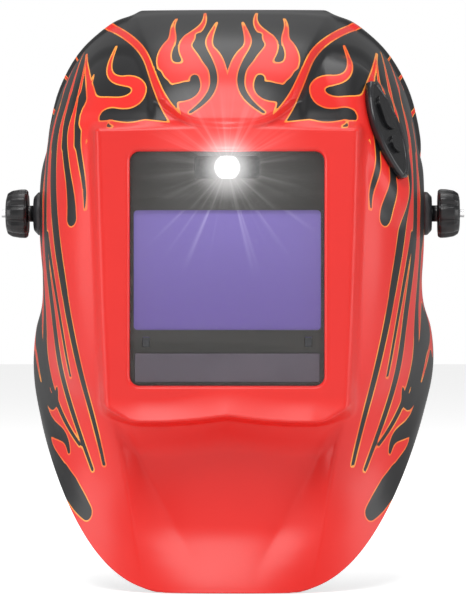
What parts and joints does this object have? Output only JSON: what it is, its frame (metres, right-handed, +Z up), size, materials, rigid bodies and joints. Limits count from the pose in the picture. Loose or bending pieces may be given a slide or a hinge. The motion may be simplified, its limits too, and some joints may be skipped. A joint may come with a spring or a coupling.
{
  "type": "auto-darkening welding helmet",
  "caption": "Red shell with black flame panels, a rectangular darkening window with forehead lamp, side tension knobs, and a ratchet headgear it tilts on.",
  "frame": {"origin": "on the tilt axis, midway between the two pivots, which is also the middle of the wearer's head", "axes": "+X to the side with the control pad, +Y towards the back of the head, +Z up; the window faces -Y"},
  "size_m": [0.2552, 0.2632, 0.3127],
  "materials": {
    "shell_paint": "glossy red paint with black flame panels",
    "black_plastic": "moulded black nylon",
    "case_plastic": "fine-textured dark grey case",
    "soft_rubber": "soft black rubber",
    "clear_polycarbonate": "clear replaceable cover",
    "filter_glass": "violet darkening filter",
    "solar_cell": "dark solar film",
    "sensor_window": "black sensor windows",
    "lamp_diffuser": "frosted lamp window",
    "circuit": "green board",
    "steel": "turned steel",
    "gear_plastic": "natural acetal",
    "button_red": "red test button",
    "padding": "soft perforated padding"
  },
  "bodies": {
    "headgear": {"headband": "black_plastic", "sweatband": "padding", "slide_rail_left": "black_plastic", "slide_rail_right": "black_plastic", "rail_rivets": "steel", "crown_strap_front_left": "black_plastic", "crown_strap_front_right": "black_plastic", "crown_strap_rear_left": "black_plastic", "crown_strap_rear_right": "black_plastic", "crown_pegs": "black_plastic", "crown_pad": "padding", "ratchet_housing": "black_plastic", "ratchet_cover": "black_plastic", "detent_spring": "steel", "nape_pad": "padding"},
    "rack_left": {"rack_strap_left": "black_plastic"},
    "rack_right": {"rack_strap_right": "black_plastic"},
    "ratchet": {"ratchet_knob": "black_plastic", "pinion_gear": "gear_plastic"},
    "carriage": {"pivot_block_left": "black_plastic", "pivot_block_right": "black_plastic", "pivot_stud_left": "steel", "pivot_stud_right": "steel", "spacer_left": "black_plastic", "spacer_right": "black_plastic", "angle_stop_left": "black_plastic"},
    "angle_lever": {"angle_lever_right": "black_plastic"},
    "knob_left": {"tension_knob_left": "black_plastic"},
    "knob_right": {"tension_knob_right": "black_plastic"},
    "visor": {"shell": "shell_paint", "pivot_bush_left": "black_plastic", "pivot_bush_right": "black_plastic", "outer_washer_left": "black_plastic", "outer_washer_right": "black_plastic", "lens_holder": "black_plastic", "front_cover_lens": "clear_polycarbonate", "lens_gasket": "soft_rubber", "cartridge_housing": "case_plastic", "cartridge_back": "case_plastic", "lcd_filter": "filter_glass", "solar_panel": "solar_cell", "arc_sensors": "sensor_window", "lamp_window": "lamp_diffuser", "lamp_board": "circuit", "circuit_board": "circuit", "coin_cell": "steel", "inner_cover_lens": "clear_polycarbonate", "retaining_frame": "black_plastic", "control_pad": "case_plastic", "control_cable": "soft_rubber"},
    "battery_door": {"battery_cap": "black_plastic"},
    "latch_l": {"latch_left": "black_plastic"},
    "latch_r": {"latch_right": "black_plastic"},
    "shade": {"shade_dial": "black_plastic"},
    "sensitivity": {"sensitivity_dial": "black_plastic"},
    "delay": {"delay_dial": "black_plastic"},
    "test": {"test_button": "button_red"},
    "grind": {"grind_button": "soft_rubber"},
    "lamp_switch": {"lamp_button": "soft_rubber"}
  },
  "joints": [
    {"name": "fore_aft", "type": "slide", "parent": "headgear", "child": "carriage", "axis": [0, 1, 0], "range_m": [-0.008, 0.008]},
    {"name": "shell_tilt", "type": "hinge", "parent": "carriage", "child": "visor", "pos_m": [0, 0, 0], "axis": [-1, 0, 0], "range_deg": [0, 62]},
    {"name": "angle_adjust", "type": "hinge", "parent": "carriage", "child": "angle_lever", "pos_m": [0.0918, 0, 0], "axis": [1, 0, 0], "range_deg": [-12, 12]},
    {"name": "tension_left", "type": "hinge", "parent": "carriage", "child": "knob_left", "pos_m": [-0.117, 0, 0], "axis": [1, 0, 0], "range_deg": [-170, 170]},
    {"name": "tension_right", "type": "hinge", "parent": "carriage", "child": "knob_right", "pos_m": [0.117, 0, 0], "axis": [1, 0, 0], "range_deg": [-170, 170]},
    {"name": "ratchet_turn", "type": "hinge", "parent": "headgear", "child": "ratchet", "pos_m": [0, 0.11933, -0.00737], "axis": [0, 0.9781, -0.2079], "range_deg": [-145, 145]},
    {"name": "rack_right_wrap", "type": "hinge", "parent": "headgear", "child": "rack_right", "pos_m": [0, 0.04108, 0.00927], "axis": [0, 0.2079, 0.9781], "range_deg": [-9.9, 9.9]},
    {"name": "rack_left_wrap", "type": "hinge", "parent": "headgear", "child": "rack_left", "pos_m": [0, 0.04108, 0.00927], "axis": [0, 0.2079, 0.9781], "range_deg": [-9.9, 9.9]},
    {"name": "battery_turn", "type": "hinge", "parent": "visor", "child": "battery_door", "pos_m": [0.036, -0.104, 0.0175], "axis": [0, 1, 0], "range_deg": [0, 60]},
    {"name": "latch_left_slide", "type": "slide", "parent": "visor", "child": "latch_l", "axis": [-1, 0, 0], "range_m": [0, 0.004]},
    {"name": "latch_right_slide", "type": "slide", "parent": "visor", "child": "latch_r", "axis": [1, 0, 0], "range_m": [0, 0.004]},
    {"name": "shade_turn", "type": "hinge", "parent": "visor", "child": "shade", "pos_m": [-0.042, -0.1025, 0.019], "axis": [0, 1, 0], "range_deg": [-135, 135]},
    {"name": "sensitivity_turn", "type": "hinge", "parent": "visor", "child": "sensitivity", "pos_m": [-0.024, -0.1025, 0.019], "axis": [0, 1, 0], "range_deg": [-135, 135]},
    {"name": "delay_turn", "type": "hinge", "parent": "visor", "child": "delay", "pos_m": [-0.006, -0.1025, 0.019], "axis": [0, 1, 0], "range_deg": [-135, 135]},
    {"name": "test_press", "type": "slide", "parent": "visor", "child": "test", "axis": [0, -1, 0], "range_m": [0, 0.001]},
    {"name": "grind_press", "type": "slide", "parent": "visor", "child": "grind", "axis": [-0.7925, 0.4915, -0.3611], "range_m": [0, 0.0015]},
    {"name": "lamp_press", "type": "slide", "parent": "visor", "child": "lamp_switch", "axis": [-0.7925, 0.4915, -0.3611], "range_m": [0, 0.0015]}
  ],
  "couplings": [
    {"joint": "rack_right_wrap", "follows": "ratchet_turn", "ratio": 0.066845},
    {"joint": "rack_left_wrap", "follows": "ratchet_turn", "ratio": -0.066845}
  ]
}
